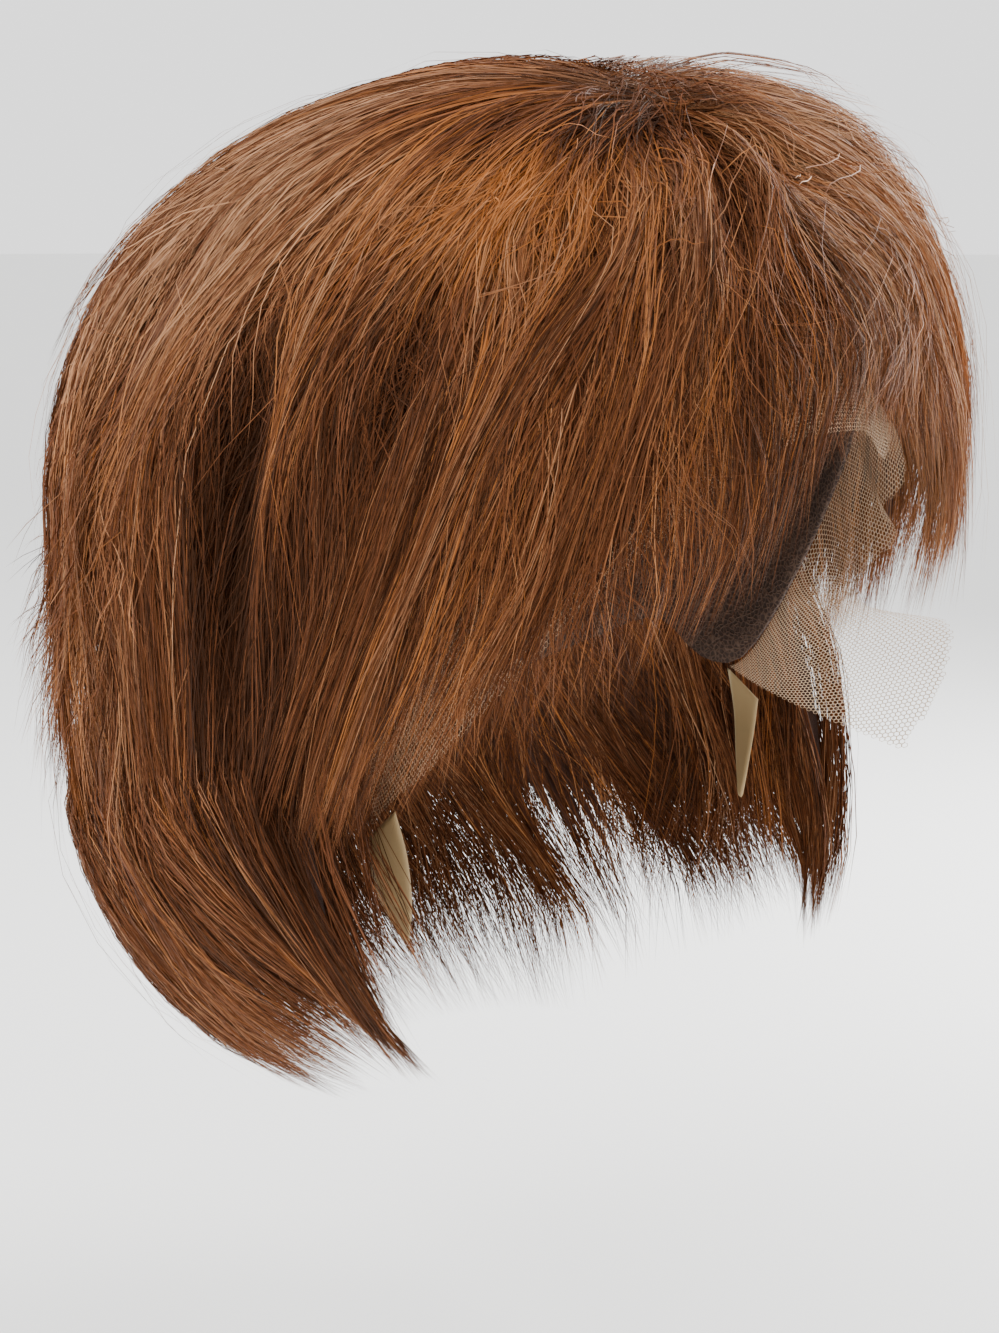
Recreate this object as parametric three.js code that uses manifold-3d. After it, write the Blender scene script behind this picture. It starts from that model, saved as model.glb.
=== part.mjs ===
// Short lace front wig in its worn form: a net cap, a lace strip with a ruffled free edge,
// two ear tabs, and a layered cut of hair in six sections of locks.
// Millimetres. +Z is up, the front looks along -Y and the wearer's left is +X.
// The origin is the inside top of the cap, on its middle plane, where the wig is carried.
import * as THREE from "three";
import { mergeVertices } from "three/addons/utils/BufferGeometryUtils.js";
import Module from "manifold-3d";

const wasm = await Module();
wasm.setup();

// Hollow of the cap. Rise is from its widest level up to the crown, fall shapes the sides below it.
const HEAD = { halfWidth: 77, front: 94, back: 99, rise: 92, fall: 240 };
const CAP_WALL = 1.2;
const LACE_WALL = 1.0;
const TAB_WALL = 1.2;
const SEAM_GAP = 0.9;
const HAIR_GAP = 1.2;
const HAIR_CUT = 0.7;

// Lower edge of the cap all round, the same on both sides: drop is measured down from the crown.
const CAP_EDGE = [
  { angle: 0, drop: 46 },
  { angle: 30, drop: 55 },
  { angle: 50, drop: 82 },
  { angle: 66, drop: 116 },
  { angle: 82, drop: 146 },
  { angle: 94, drop: 148 },
  { angle: 106, drop: 138 },
  { angle: 122, drop: 146 },
  { angle: 148, drop: 162 },
  { angle: 180, drop: 168 },
];

// Lace strip from the right ear tab to the left one: a row for each fold. The seam follows the cap's edge,
// and the free edge stands out from the hollow by edgeOut.
const LACE_FOLDS = [
  { seamAngle: -86, edgeAngle: -85, edgeDrop: 171, edgeOut: 3 },
  { seamAngle: -80, edgeAngle: -78.5, edgeDrop: 162, edgeOut: 4 },
  { seamAngle: -72, edgeAngle: -69, edgeDrop: 151, edgeOut: 4 },
  { seamAngle: -60, edgeAngle: -55, edgeDrop: 129, edgeOut: 4 },
  { seamAngle: -42, edgeAngle: -33, edgeDrop: 95, edgeOut: 3 },
  { seamAngle: -18, edgeAngle: -14, edgeDrop: 74, edgeOut: 3 },
  { seamAngle: 6, edgeAngle: 6, edgeDrop: 71, edgeOut: 3 },
  { seamAngle: 19, edgeAngle: 17, edgeDrop: 79, edgeOut: 2 },
  { seamAngle: 29, edgeAngle: 30, edgeDrop: 73, edgeOut: 5.5 },
  { seamAngle: 36, edgeAngle: 33, edgeDrop: 86, edgeOut: 8 },
  { seamAngle: 43, edgeAngle: 37, edgeDrop: 96, edgeOut: 3 },
  { seamAngle: 50, edgeAngle: 40, edgeDrop: 103, edgeOut: 9 },
  { seamAngle: 58, edgeAngle: 45, edgeDrop: 118, edgeOut: 1.5 },
  { seamAngle: 66, edgeAngle: 47, edgeDrop: 126, edgeOut: 10 },
  { seamAngle: 73, edgeAngle: 52, edgeDrop: 131, edgeOut: 35 },
  { seamAngle: 80, edgeAngle: 54, edgeDrop: 149, edgeOut: 38 },
  { seamAngle: 86, edgeAngle: 59, edgeDrop: 172, edgeOut: 35 },
];

// Ear tabs: each row runs across the leaf from its back edge to its front edge, down to the tip.
const RIGHT_TAB = [
  { backAngle: -85.5, backDrop: 172.5, backOut: 3, frontAngle: -78, frontDrop: 164, frontOut: 4 },
  { backAngle: -85, backDrop: 181, backOut: 4.5, frontAngle: -77, frontDrop: 176, frontOut: 2 },
  { backAngle: -83, backDrop: 192, backOut: 4, frontAngle: -77, frontDrop: 189, frontOut: 1.5 },
  { backAngle: -79.5, backDrop: 200, backOut: 2, frontAngle: -78.5, frontDrop: 200.4, frontOut: 2 },
];
const LEFT_TAB = [
  { backAngle: 86.5, backDrop: 150.5, backOut: 1, frontAngle: 79, frontDrop: 159, frontOut: 4.5 },
  { backAngle: 85.5, backDrop: 163, backOut: 4, frontAngle: 78, frontDrop: 170, frontOut: 2.5 },
  { backAngle: 83.5, backDrop: 176, backOut: 4, frontAngle: 78, frontDrop: 180, frontOut: 1.5 },
  { backAngle: 80, backDrop: 188, backOut: 2, frontAngle: 79, frontDrop: 188.4, frontOut: 2 },
];

// Hair all round. Angle runs from the middle of the front towards the wearer's left, reach is from the wig's
// axis to the outside of the hair, shoulder squares the upper profile, hem is the height of the tips of the
// over layers and nape that of the under layer.
const HAIR_ROUND = [
  { angle: -180, reach: 139, shoulder: 2.0, hem: -163, nape: -247 },
  { angle: -150, reach: 141, shoulder: 2.0, hem: -165, nape: -248 },
  { angle: -125, reach: 135, shoulder: 2.05, hem: -164, nape: -245 },
  { angle: -105, reach: 125, shoulder: 2.1, hem: -162, nape: -237 },
  { angle: -90, reach: 117, shoulder: 2.2, hem: -154, nape: -228 },
  { angle: -78, reach: 112, shoulder: 2.3, hem: -142, nape: -222 },
  { angle: -60, reach: 108, shoulder: 2.3, hem: -121, nape: -220 },
  { angle: -30, reach: 106, shoulder: 2.3, hem: -100, nape: -220 },
  { angle: -5, reach: 108, shoulder: 2.4, hem: -93, nape: -220 },
  { angle: 14, reach: 108, shoulder: 2.5, hem: -84, nape: -220 },
  { angle: 29, reach: 111, shoulder: 2.7, hem: -78, nape: -220 },
  { angle: 45, reach: 115, shoulder: 2.8, hem: -102, nape: -220 },
  { angle: 62, reach: 118, shoulder: 2.7, hem: -122, nape: -220 },
  { angle: 78, reach: 119, shoulder: 2.5, hem: -138, nape: -222 },
  { angle: 92, reach: 119, shoulder: 2.3, hem: -154, nape: -228 },
  { angle: 107, reach: 126, shoulder: 2.1, hem: -162, nape: -237 },
  { angle: 128, reach: 135, shoulder: 2.0, hem: -164, nape: -245 },
  { angle: 152, reach: 141, shoulder: 2.0, hem: -165, nape: -248 },
];
const HAIR = { loft: 23.5, fall: 170, under: 3.0, pace: 118, hemTaper: 0.72, taperFrom: 0.5 };
const WHORL = { x: 0, y: -18, fade: 0.55 };

// The two layers of the cut: the tips they end at, how far they lie inside the outline (and by how much more
// where they go under the other layer), and the side sweep of their flow in degrees at the tips. The fringe
// goes to the wearer's right, the nape turns forward.
const OVER = { tips: "hem", inset: 0, tucked: 0, sweeps: [{ about: -8, spread: 40, turn: -26, from: 0.25 }] };
const UNDER = {
  tips: "nape", inset: -7, tucked: 26,
  sweeps: [
    { about: -100, spread: 30, turn: 18, from: 0.78 },
    { about: 100, spread: 30, turn: -18, from: 0.78 },
  ],
};

// Sections of the cut: from and to are flow angles, top and hem are shares of the run from whorl to tips,
// skin is how deep the backing lies under the outside. Locks is how many lie on it, from start to end,
// with their middles from deep at the root to lift at the tip.
const SECTIONS = [
  {
    name: "hair_crown", layer: OVER, from: 0, to: 360, top: 0, hem: 0.3, skin: 4,
    locks: 11, start: 0.03, end: 0.6, width: 28, thick: 3.6, deep: 5.5, lift: 4,
  },
  {
    name: "hair_fringe", layer: OVER, under: ["hair_crown"], from: -58, to: 28, top: 0.312, hem: 0.9, skin: 7,
    locks: 8, start: 0.32, end: 1.06, width: 20, thick: 4.5, deep: 9.5, lift: 4,
  },
  {
    name: "hair_right", layer: OVER, under: ["hair_crown", "hair_fringe"], from: -100, to: -59,
    top: 0.312, hem: 0.9, skin: 7,
    locks: 4, start: 0.32, end: 1.06, width: 22, thick: 5, deep: 9.5, lift: 3,
  },
  {
    name: "hair_left", layer: OVER, under: ["hair_crown", "hair_fringe"], from: 29, to: 100,
    top: 0.312, hem: 0.9, skin: 7,
    locks: 6, start: 0.32, end: 1.05, width: 24, thick: 5, deep: 9.5, lift: 4,
  },
  {
    name: "hair_back", layer: OVER, under: ["hair_crown", "hair_right", "hair_left"], from: 101, to: 259,
    top: 0.312, hem: 0.9, skin: 7,
    locks: 10, start: 0.32, end: 1.07, width: 30, thick: 5, deep: 9.5, lift: -2,
  },
  {
    name: "hair_nape", layer: UNDER, under: ["hair_right", "hair_left", "hair_back"], from: 94, to: 266,
    top: 0.62, hem: 0.96, skin: 6,
    locks: 10, start: 0.65, end: 1.05, width: 30, thick: 5, deep: 8, lift: 3,
  },
];
const BACKING_STEP = 10;
const LOCK_STEPS = 6;
const LOCK_SIDES = 6;
const LOCK_WAVE = 2.2;
const LOCK_UNEVEN = 0.06;

const RAD = Math.PI / 180;
const clamp = (x) => Math.min(1, Math.max(0, x));
const smooth = (x) => clamp(x) ** 2 * (3 - 2 * clamp(x));
const mix = (a, b, k) => a + (b - a) * k;
const scatter = (n) => Math.abs(Math.sin(n * 127.1 + 11.7) * 43758.5453) % 1;

// Every column of a table at a place along its key, on a smooth curve through the rows.
function rowAt(rows, key, place) {
  const passed = rows.filter((row) => row[key] <= place).length;
  const next = Math.min(rows.length - 1, Math.max(1, passed));
  const kept = (n) => Math.min(rows.length - 1, Math.max(0, n));
  const near = [next - 2, next - 1, next, next + 1].map((n) => rows[kept(n)]);
  const [x0, x1, x2, x3] = near.map((row) => row[key]);
  const span = x2 - x1;
  const k = (place - x1) / span;
  const found = {};
  for (const column of Object.keys(rows[0])) {
    const [y0, y1, y2, y3] = near.map((row) => row[column]);
    const leave = ((y2 - y0) / (x2 - x0)) * span;
    const reach = ((y3 - y1) / (x3 - x1)) * span;
    found[column] =
      y1 + leave * k + (3 * (y2 - y1) - 2 * leave - reach) * k ** 2 +
      (2 * (y1 - y2) + leave + reach) * k ** 3;
  }
  return found;
}

// Tables that go all round get their first and last rows again past the ends.
const turnedRow = (turn) => (row) => ({ ...row, angle: row.angle + turn });
const ringed = (rows) => [
  ...rows.slice(-2).map(turnedRow(-360)),
  ...rows,
  ...rows.slice(0, 2).map(turnedRow(360)),
];
const mirrored = (rows) => [
  ...rows.slice(1, -1).reverse().map((row) => ({ ...row, angle: -row.angle })),
  ...rows,
];
const numbered = (rows) => rows.map((row, place) => ({ place, ...row }));

const CAP_RING = ringed(mirrored(CAP_EDGE));
const HAIR_RING = ringed(HAIR_ROUND);

// Hollow and cap

const turned = (angle) => ((((angle + 180) % 360) + 360) % 360) - 180;

function headReach(angle) {
  const length = Math.cos(angle * RAD) > 0 ? HEAD.front : HEAD.back;
  return 1 / Math.hypot(Math.sin(angle * RAD) / HEAD.halfWidth, Math.cos(angle * RAD) / length);
}

const polar = (angle, radius, z) =>
  new THREE.Vector3(radius * Math.sin(angle * RAD), -radius * Math.cos(angle * RAD), z);

// Point on the hollow at a drop below the crown, standing out by a distance.
function headPoint(angle, drop, out) {
  const below = drop - HEAD.rise;
  const height = below < 0 ? -below / HEAD.rise : -below / HEAD.fall;
  const radius = (headReach(angle) + out) * Math.sqrt(1 - height ** 2);
  const z = below < 0 ? -HEAD.rise + (HEAD.rise + out) * height : -drop;
  return polar(angle, radius, z);
}

const capEdgeDrop = (angle) => rowAt(CAP_RING, "angle", turned(angle)).drop;

function capPoint(angle, share, out) {
  const edge = capEdgeDrop(angle);
  const edgeTilt = edge < HEAD.rise
    ? Math.acos(1 - edge / HEAD.rise)
    : Math.PI / 2 + (edge - HEAD.rise) / HEAD.rise;
  const tilt = edgeTilt * share;
  const drop = tilt < Math.PI / 2
    ? HEAD.rise * (1 - Math.cos(tilt))
    : HEAD.rise + (tilt - Math.PI / 2) * HEAD.rise;
  return headPoint(angle, drop, out);
}

// Hair volume

function sweepOf(layer, flow, run) {
  let turn = 0;
  for (const { about, spread, turn: most, from } of layer.sweeps)
    turn += most * Math.exp(-((turned(flow - about) / spread) ** 2)) * smooth((run - from) / (1 - from));
  return turn;
}

// Outside and inside of a layer at a flow angle and a share of the run from whorl to tips. The outside is a
// squared dome down to the hollow's widest level, then falls and turns in under the nape.
function hairSides(layer, flow, run) {
  const angle = turned(flow + sweepOf(layer, flow, run));
  const row = rowAt(HAIR_RING, "angle", angle);
  const inset = layer.inset + layer.tucked * (1 - smooth((run - 0.61) / 0.12));
  const [rise, reach, power] = [HEAD.rise + HAIR.loft, row.reach - inset, 2 / row.shoulder];
  const below = -HEAD.rise - row[layer.tips];
  const hemTilt = below > 0 ? Math.PI / 2 + below / HAIR.pace : Math.acos((-below / rise) ** (1 / power));
  const tilt = run * hemTilt;
  let outer, inner;
  if (tilt < Math.PI / 2) {
    outer = polar(angle, reach * Math.sin(tilt) ** power, -HEAD.rise + rise * Math.cos(tilt) ** power);
    inner = headPoint(angle, HEAD.rise * (1 - Math.cos(tilt)), CAP_WALL + HAIR_GAP);
  } else {
    const down = Math.min((tilt - Math.PI / 2) * HAIR.pace, HAIR.fall * 0.985);
    const tuck = (1 - (down / HAIR.fall) ** HAIR.under) ** (1 / HAIR.under);
    outer = polar(angle, reach * tuck, -HEAD.rise - down);
    inner = headPoint(angle, HEAD.rise + down, CAP_WALL + HAIR_GAP);
  }
  const fade = Math.max(0, 1 - run / WHORL.fade) ** 2;
  outer.add(new THREE.Vector3(WHORL.x * fade, WHORL.y * fade, 0));
  const taper = HAIR.hemTaper * smooth((run - HAIR.taperFrom) / (1 - HAIR.taperFrom));
  return { outer, inner: inner.lerp(outer, taper) };
}

// Point in the hair, a depth under its outside and never past the middle of its thickness.
function hairPoint(layer, flow, run, depth, grow = 0) {
  const { outer, inner } = hairSides(layer, flow, run);
  const through = inner.sub(outer);
  const deep = Math.min(depth, through.length() * 0.55) - grow;
  return outer.addScaledVector(through.normalize(), deep);
}

// Closed wall between two surfaces over a grid of columns and rows.
function wallGeometry(columns, rows, outside, inside) {
  const points = [];
  const corner = (face, i, j) => (face * (rows + 1) + j) * (columns + 1) + i;
  for (const surface of [outside, inside])
    for (let j = 0; j <= rows; j++)
      for (let i = 0; i <= columns; i++) points.push(surface(i / columns, j / rows));
  const index = [];
  const quad = (a, b, c, d) => index.push(a, b, c, a, c, d);
  for (let j = 0; j < rows; j++)
    for (let i = 0; i < columns; i++) {
      quad(corner(0, i, j), corner(0, i, j + 1), corner(0, i + 1, j + 1), corner(0, i + 1, j));
      quad(corner(1, i, j), corner(1, i + 1, j), corner(1, i + 1, j + 1), corner(1, i, j + 1));
    }
  for (let i = 0; i < columns; i++) {
    quad(corner(0, i, 0), corner(0, i + 1, 0), corner(1, i + 1, 0), corner(1, i, 0));
    quad(corner(0, i + 1, rows), corner(0, i, rows), corner(1, i, rows), corner(1, i + 1, rows));
  }
  for (let j = 0; j < rows; j++) {
    quad(corner(0, 0, j + 1), corner(0, 0, j), corner(1, 0, j), corner(1, 0, j + 1));
    quad(corner(0, columns, j + 1), corner(1, columns, j + 1), corner(1, columns, j), corner(0, columns, j));
  }
  return closedGeometry(points, index);
}

// Geometry with shared corners merged, faces of no area dropped, and faces pointing out.
function closedGeometry(points, index) {
  const loose = new THREE.BufferGeometry().setFromPoints(points).setIndex(index);
  const merged = mergeVertices(loose, 1e-3);
  const faces = new Map();
  for (let i = 0; i < merged.index.count; i += 3) {
    const face = [0, 1, 2].map((n) => merged.index.getX(i + n));
    if (new Set(face).size < 3) continue;
    const key = [...face].sort((a, b) => a - b).join();
    if (!faces.delete(key)) faces.set(key, face);
  }
  return merged.setIndex([...faces.values()].flat());
}

function solidOf(geometry) {
  return new wasm.Manifold(new wasm.Mesh({
    numProp: 3,
    vertProperties: geometry.getAttribute("position").array,
    triVerts: new Uint32Array(geometry.index.array),
  }));
}

function geometryOf(solid) {
  const mesh = solid.getMesh();
  return new THREE.BufferGeometry()
    .setAttribute("position", new THREE.BufferAttribute(mesh.vertProperties, 3))
    .setIndex(new THREE.BufferAttribute(mesh.triVerts, 1));
}

// Pieces

function capGeometry() {
  const surface = (out) => (i, j) => capPoint(turned(i * 360), j, out);
  return wallGeometry(48, 7, surface(CAP_WALL), surface(0));
}

// Thin cloth strip through table rows, with its wall laid evenly on both sides of the middle surface.
function clothGeometry(middle, wall, along, across) {
  const step = 1e-3;
  const face = (side) => (i, j) => {
    const slide = (di, dj) => middle(clamp(i + di), clamp(j + dj));
    const run = slide(step, 0).sub(slide(-step, 0));
    const width = slide(0, step).sub(slide(0, -step));
    const normal = width.cross(run).normalize();
    return middle(i, j).addScaledVector(normal, (side * wall) / 2);
  };
  return wallGeometry(along, across, face(1), face(-1));
}

function lacePoint(i, j) {
  const fold = rowAt(numbered(LACE_FOLDS), "place", i * (LACE_FOLDS.length - 1));
  const seamDrop = capEdgeDrop(fold.seamAngle) + SEAM_GAP;
  const middleOut = CAP_WALL / 2;
  return headPoint(
    mix(fold.seamAngle, fold.edgeAngle, j),
    mix(seamDrop, fold.edgeDrop, j),
    middleOut + (fold.edgeOut - middleOut) * j ** 1.6,
  );
}

const tabPoint = (rows) => (i, j) => {
  const row = rowAt(numbered(rows), "place", i * (rows.length - 1));
  return headPoint(
    mix(row.backAngle, row.frontAngle, j),
    mix(row.backDrop, row.frontDrop, j),
    mix(row.backOut, row.frontOut, j),
  );
};

// Tapered lock along the flow, flat against the hair, with pointed root and tip.
function lockSolid(section, flow, seed, grow) {
  const runAt = (share) => mix(section.start, section.end - LOCK_UNEVEN * seed * section.end, share);
  const path = (share) => {
    const wave = LOCK_WAVE * Math.sin(share * 4 + seed * 9);
    const depth = mix(section.deep, section.lift, smooth(share));
    return hairPoint(section.layer, flow + wave, runAt(share), depth);
  };
  const end = (share, last) => path(share).add(path(share).sub(path(last)).setLength(grow * 2.5));
  const points = [end(0, 1 / LOCK_STEPS)];
  for (let n = 1; n < LOCK_STEPS; n++) {
    const share = n / LOCK_STEPS;
    const middle = path(share);
    const along = path(share + 0.02).sub(path(share - 0.02)).normalize();
    const { outer, inner } = hairSides(section.layer, flow, runAt(share));
    const side = along.clone().cross(outer.sub(inner)).normalize();
    const up = side.clone().cross(along).normalize();
    const swell = Math.sin(Math.PI * share ** 0.8) ** 0.6;
    for (let k = 0; k < LOCK_SIDES; k++) {
      const round = (k / LOCK_SIDES) * 2 * Math.PI;
      points.push(
        middle.clone()
          .addScaledVector(side, Math.cos(round) * (swell * section.width * (0.44 + 0.12 * seed) + grow))
          .addScaledVector(up, Math.sin(round) * (swell * section.thick + grow)),
      );
    }
  }
  points.push(end(1, 1 - 1 / LOCK_STEPS));
  const last = points.length - 1;
  const ring = (n, k) => 1 + n * LOCK_SIDES + (k % LOCK_SIDES);
  const index = [];
  for (let k = 0; k < LOCK_SIDES; k++) {
    index.push(0, ring(0, k), ring(0, k + 1));
    for (let n = 0; n < LOCK_STEPS - 2; n++) {
      index.push(ring(n, k), ring(n + 1, k + 1), ring(n, k + 1));
      index.push(ring(n, k), ring(n + 1, k), ring(n + 1, k + 1));
    }
    index.push(last, ring(LOCK_STEPS - 2, k + 1), ring(LOCK_STEPS - 2, k));
  }
  return solidOf(closedGeometry(points, index));
}

// Section of hair: its backing with the locks fused on. Grow makes the slightly larger copy that cuts
// a clear gap into a section lying under it.
function sectionSolid(section, grow) {
  const span = section.to - section.from;
  const columns = Math.round(span / BACKING_STEP);
  const rows = Math.max(3, Math.round((section.hem - section.top) * 9));
  const aside = span < 360 ? grow * 0.6 : 0;
  const at = (i, j) => [
    section.layer,
    mix(section.from - aside, section.to + aside, i),
    mix(section.top, section.hem + grow / 100, j),
  ];
  const outside = (i, j) => hairPoint(...at(i, j), section.skin, grow);
  const inside = (i, j) => {
    const { outer, inner } = hairSides(...at(i, j));
    return inner.add(inner.clone().sub(outer).setLength(grow));
  };
  let solid = solidOf(wallGeometry(columns, rows, outside, inside));
  for (let n = 0; n < section.locks; n++) {
    const flow = section.from + ((n + 0.5) / section.locks) * span;
    solid = solid.add(lockSolid(section, flow, scatter(section.from * 31 + n), grow));
  }
  return solid;
}

function hairGeometry(section) {
  let solid = sectionSolid(section, 0);
  for (const name of section.under ?? []) {
    const above = SECTIONS.find((other) => other.name === name);
    solid = solid.subtract(sectionSolid(above, HAIR_CUT));
  }
  const bodies = solid.decompose().sort((a, b) => b.volume() - a.volume());
  return geometryOf(bodies[0].simplify(0.03));
}

// Materials, with colours from the lit middle of each surface
const HAIR_LOOK = { color: 0x7d4b2a, roughness: 0.5, metalness: 0 };
const LOOKS = {
  cap_net: { color: 0x2a1a12, roughness: 0.9, metalness: 0 },
  lace_front: { color: 0xa98a68, roughness: 0.8, metalness: 0 },
  ear_tab_right: { color: 0xb59a62, roughness: 0.7, metalness: 0 },
  ear_tab_left: { color: 0xb59a62, roughness: 0.7, metalness: 0 },
};

const wig = new THREE.Group();
function place(name, geometry) {
  const mesh = new THREE.Mesh(geometry, new THREE.MeshStandardMaterial(LOOKS[name] ?? HAIR_LOOK));
  mesh.name = name;
  wig.add(mesh);
}

place("cap_net", capGeometry());
place("lace_front", clothGeometry(lacePoint, LACE_WALL, 52, 3));
place("ear_tab_right", clothGeometry(tabPoint(RIGHT_TAB), TAB_WALL, 8, 3));
place("ear_tab_left", clothGeometry(tabPoint(LEFT_TAB), TAB_WALL, 8, 3));
for (const section of SECTIONS) place(section.name, hairGeometry(section));

export default wig;
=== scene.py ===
"""Short lace front wig in its worn form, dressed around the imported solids.

Hair strands, lace net, cap and ear tabs are meshes from arrays. Tables are in millimetres and degrees:
angle 0 is the middle of the front and the wearer's left is positive. The meshes are in metres.
"""

import math

import bpy
import numpy as np
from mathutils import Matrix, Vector


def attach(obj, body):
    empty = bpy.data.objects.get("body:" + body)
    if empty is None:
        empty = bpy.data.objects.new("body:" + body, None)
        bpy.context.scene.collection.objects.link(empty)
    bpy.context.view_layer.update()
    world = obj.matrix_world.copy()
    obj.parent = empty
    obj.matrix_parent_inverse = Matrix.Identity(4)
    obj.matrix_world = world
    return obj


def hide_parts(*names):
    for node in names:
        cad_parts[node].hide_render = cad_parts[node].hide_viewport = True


bl_info = {
    "name": "Short lace front wig",
    "version": (1, 0, 0),
    "blender": (4, 5, 0),
    "location": "View3D > Sidebar > Wig",
    "description": "Builds a short layered wig with a lace front around its packed solids",
    "category": "Object",
}

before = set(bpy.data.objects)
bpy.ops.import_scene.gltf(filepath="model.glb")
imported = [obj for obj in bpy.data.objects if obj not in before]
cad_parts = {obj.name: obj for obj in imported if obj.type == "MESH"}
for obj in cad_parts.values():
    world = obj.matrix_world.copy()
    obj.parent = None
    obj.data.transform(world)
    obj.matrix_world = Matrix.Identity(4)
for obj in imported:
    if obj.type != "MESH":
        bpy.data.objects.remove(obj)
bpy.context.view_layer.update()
MM = 0.001
UV_MAP = "OFBake"

# Hollow of the cap and the hair volume round it, as in the solids.
HOLLOW = {"half_width": 77, "front": 94, "back": 99, "rise": 92, "fall": 240}
WALL = {"cap": 1.2, "tab": 1.2, "seam_gap": 0.9, "hair_gap": 1.2}
HAIR = {
    "loft": 23.5, "fall": 170, "lowest": 0.985, "under": 3.0, "pace": 118,
    "hem_taper": 0.72, "taper_from": 0.5, "sweep_ease": 1.6, "tucked_to": 0.61,
}
WHORL = {"angle": -26, "tilt": 0.5, "fade": 0.8, "parting": 30, "length": 0.1}

CAP_EDGE = {
    "angle": (0, 30, 50, 66, 82, 94, 106, 122, 148, 180),
    "drop": (46, 55, 82, 116, 146, 148, 138, 146, 162, 168),
}

LACE_LIFT = 1.6
LACE_FOLDS = {
    "seam_angle": (-86, -80, -72, -60, -42, -18, 6, 19, 29, 36, 43, 50, 58, 66, 73, 80, 86),
    "edge_angle": (-85, -78.5, -69, -55, -33, -14, 6, 17, 30, 33, 37, 40, 45, 47, 52, 54, 59),
    "edge_drop": (171, 162, 151, 129, 95, 74, 71, 79, 73, 86, 96, 103, 118, 126, 131, 149, 172),
    "edge_out": (3, 4, 4, 4, 3, 3, 3, 2, 5.5, 8, 3, 9, 1.5, 10, 35, 38, 35),
}

TAB_RIM = {"across": 4, "along": 9, "soft": 0.35, "least": 0.04}
TABS = {
    "ear_tab_right": {
        "back_angle": (-85.5, -85, -83, -79.5),
        "back_drop": (172.5, 181, 192, 200),
        "back_out": (3, 4.5, 4, 2),
        "front_angle": (-78, -77, -77, -78.5),
        "front_drop": (164, 176, 189, 200.4),
        "front_out": (4, 2, 1.5, 2),
    },
    "ear_tab_left": {
        "back_angle": (86.5, 85.5, 83.5, 80),
        "back_drop": (150.5, 163, 176, 188),
        "back_out": (1, 4, 4, 2),
        "front_angle": (79, 78, 78, 79),
        "front_drop": (159, 170, 180, 188.4),
        "front_out": (4.5, 2.5, 1.5, 2),
    },
}

HAIR_ROUND = {
    "angle": (
        -180, -150, -125, -105, -90, -78, -62, -46, -30, -19, -11,
        -3, 14, 29, 45, 62, 78, 92, 107, 128, 152,
    ),
    "reach": (
        139, 141, 135, 125, 117, 112, 108, 107, 106, 107, 107,
        108, 108, 111, 115, 118, 119, 119, 126, 135, 141,
    ),
    "shoulder": (
        2.0, 2.0, 2.05, 2.1, 2.2, 2.3, 2.3, 2.3, 2.3, 2.35, 2.4,
        2.4, 2.5, 2.7, 2.8, 2.7, 2.5, 2.3, 2.1, 2.0, 2.0,
    ),
    "hem": (
        -164, -166, -166, -164, -161, -157, -143, -131, -108, -95, -74,
        -68, -78, -92, -112, -126, -140, -154, -164, -166, -166,
    ),
    "nape": (
        -247, -248, -245, -234, -223, -216, -216, -220, -220, -220, -220,
        -220, -220, -220, -220, -216, -216, -223, -234, -245, -248,
    ),
}

# Layers of the cut: the tips they end at, how far they lie inside the outline, by how much more where they
# go under the other layer, and how their flow is swept to the side: from where, and how far at the tips.
OVER = {
    "tips": "hem", "inset": 0, "tucked": 0, "emerge": 0.12, "whorl": 1.0, "start": 0.36,
    "sweep": {
        "angle": (
            -180, -150, -120, -100, -80, -62, -45, -36, -24, -11, -4, 1,
            5, 9, 14, 20, 29, 45, 62, 80, 100, 120, 150,
        ),
        "turn": (
            0, 0, 2, 0, -9, -20, -27, -25, -18, -11, -6, 1,
            9, 15, 21, 24, 23, 18, 13, 7, 2, 0, 0,
        ),
    },
}
UNDER = {
    "tips": "nape", "inset": -5, "tucked": 18, "emerge": 0.22, "whorl": 0.0, "start": 0.56,
    "sweep": {
        "angle": (-180, -150, -120, -105, -90, -60, 0, 60, 90, 105, 120, 150),
        "turn": (0, 32, 42, 30, 16, 4, 0, -4, -16, -30, -42, -32),
    },
}
BEHIND_TAB = {
    "tips": "nape", "inset": 13, "tucked": 8, "emerge": 0.2, "whorl": 0.0, "start": 0.7,
    "sweep": {"angle": (-160, -95, -40, 40, 95, 160), "turn": (0, 12, 0, 0, -12, 0)},
}

# What groups of strands share: on the crown, in the sections under it, and in the nape's middle and sides.
CROWN = {"piece": "hair_crown", "layer": OVER, "points": 9}
SECTION = {"layer": OVER, "points": 8}
NAPE = {
    "piece": "hair_nape", "layer": UNDER, "points": 7, "root": (0.5, 0.7), "width": 4.2, "deep": 12,
    "lie": (0.5, 6.0), "flick": 0.6, "inner": 0.3, "tone": -0.15, "uneven": 0.06, "taper": 0.35,
}
NAPE_SIDE = {
    "piece": "hair_nape", "layer": BEHIND_TAB, "points": 7, "clumps": 30, "strands": 31,
    "root": (0.52, 0.66), "tip": (0.9, 1.0), "width": 4.0, "deep": 6, "lie": (0.0, 8.0), "flick": 1.0,
    "inner": 0.2, "tone": -0.16, "uneven": 0.08, "taper": 0.4,
}

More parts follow.
